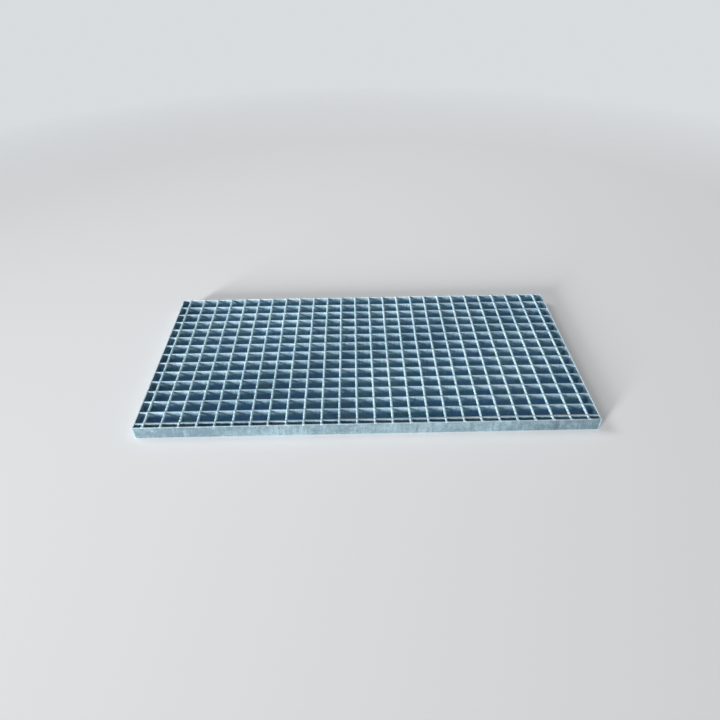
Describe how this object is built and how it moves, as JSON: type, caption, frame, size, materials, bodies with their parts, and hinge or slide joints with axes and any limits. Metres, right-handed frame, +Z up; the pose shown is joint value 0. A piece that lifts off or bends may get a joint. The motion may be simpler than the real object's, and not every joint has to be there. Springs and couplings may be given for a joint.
{
  "type": "steel grating panel",
  "caption": "Flat welded steel grating panel with deep flat bearing bars, twisted square cross rods and flat banding bars on all four sides.",
  "frame": {"origin": "centre of the underside's outline, on the plane that the panel lies on", "axes": "+X along the bearing bars, the long way; +Y across the bearing bars, along the cross rods, from the front band to the back band; +Z up, towards the side with the cross rods"},
  "size_m": [1, 0.498, 0.031],
  "materials": {
    "galvanised_steel": "hot-dip galvanised, dull bluish grey zinc with faint spangle"
  },
  "bodies": {
    "root": {"bar_grid": "galvanised_steel", "front_band": "galvanised_steel", "back_band": "galvanised_steel", "left_band": "galvanised_steel", "right_band": "galvanised_steel"}
  },
  "joints": []
}
